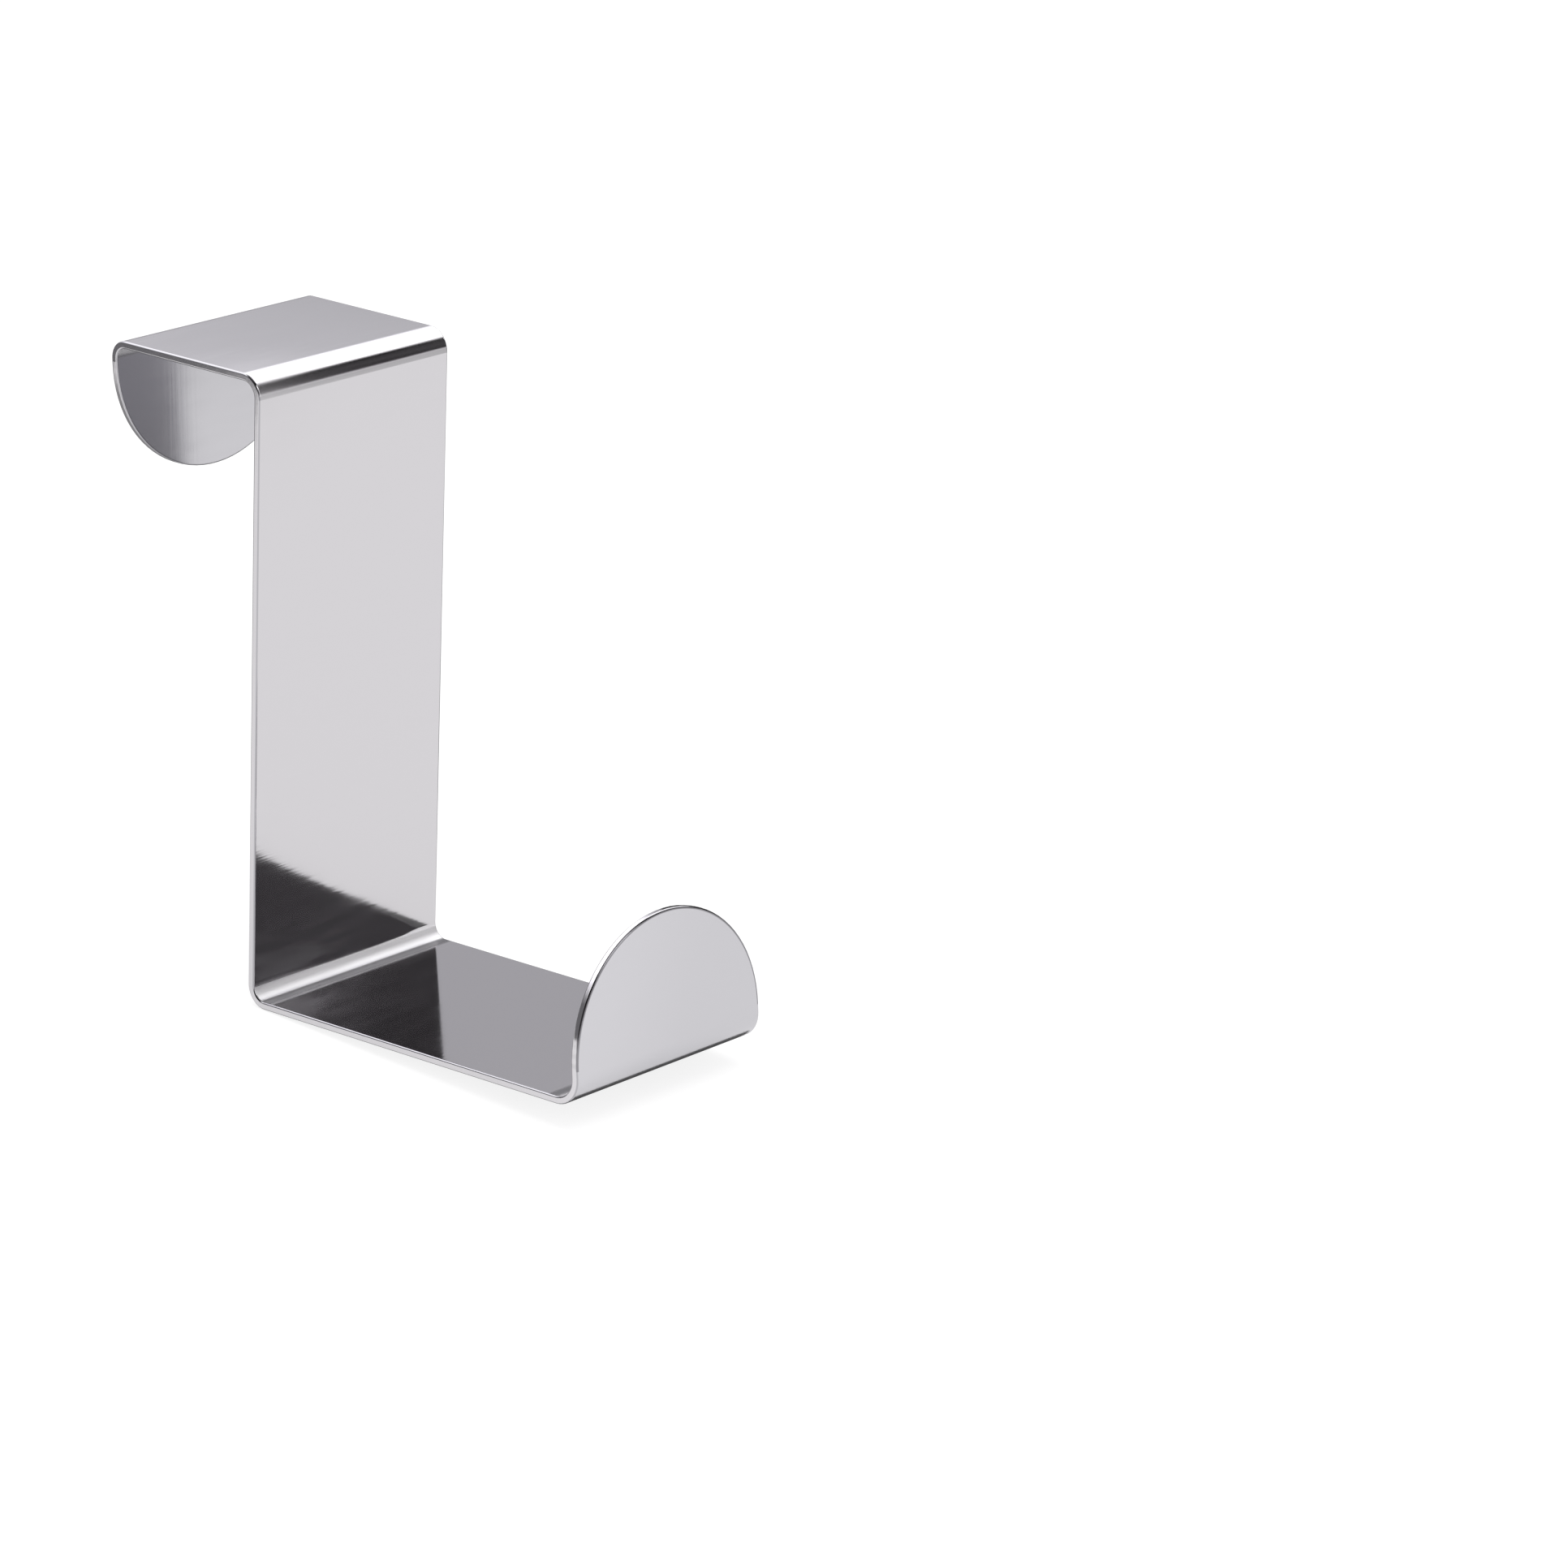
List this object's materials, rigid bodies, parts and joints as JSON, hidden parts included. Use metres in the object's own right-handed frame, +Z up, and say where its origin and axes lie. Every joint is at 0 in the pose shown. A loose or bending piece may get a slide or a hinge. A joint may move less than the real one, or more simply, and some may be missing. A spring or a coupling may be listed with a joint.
{
  "type": "over door hook",
  "caption": "Over door hook folded from one strip of polished steel: short web over the door, long plate, shelf for the load, and a half-round tongue at each end.",
  "frame": {"origin": "middle of the underside of the web, which bears on the door's top edge", "axes": "+Z up, +Y from the plate into the door, -Y the side that the shelf points to, +X across the strip; the part is symmetric about X = 0 and the plate is parallel to the XZ plane"},
  "size_m": [0.027, 0.0688, 0.0682],
  "materials": {
    "polished_steel": "polished"
  },
  "bodies": {
    "root": {"hook": "polished_steel"}
  },
  "joints": []
}
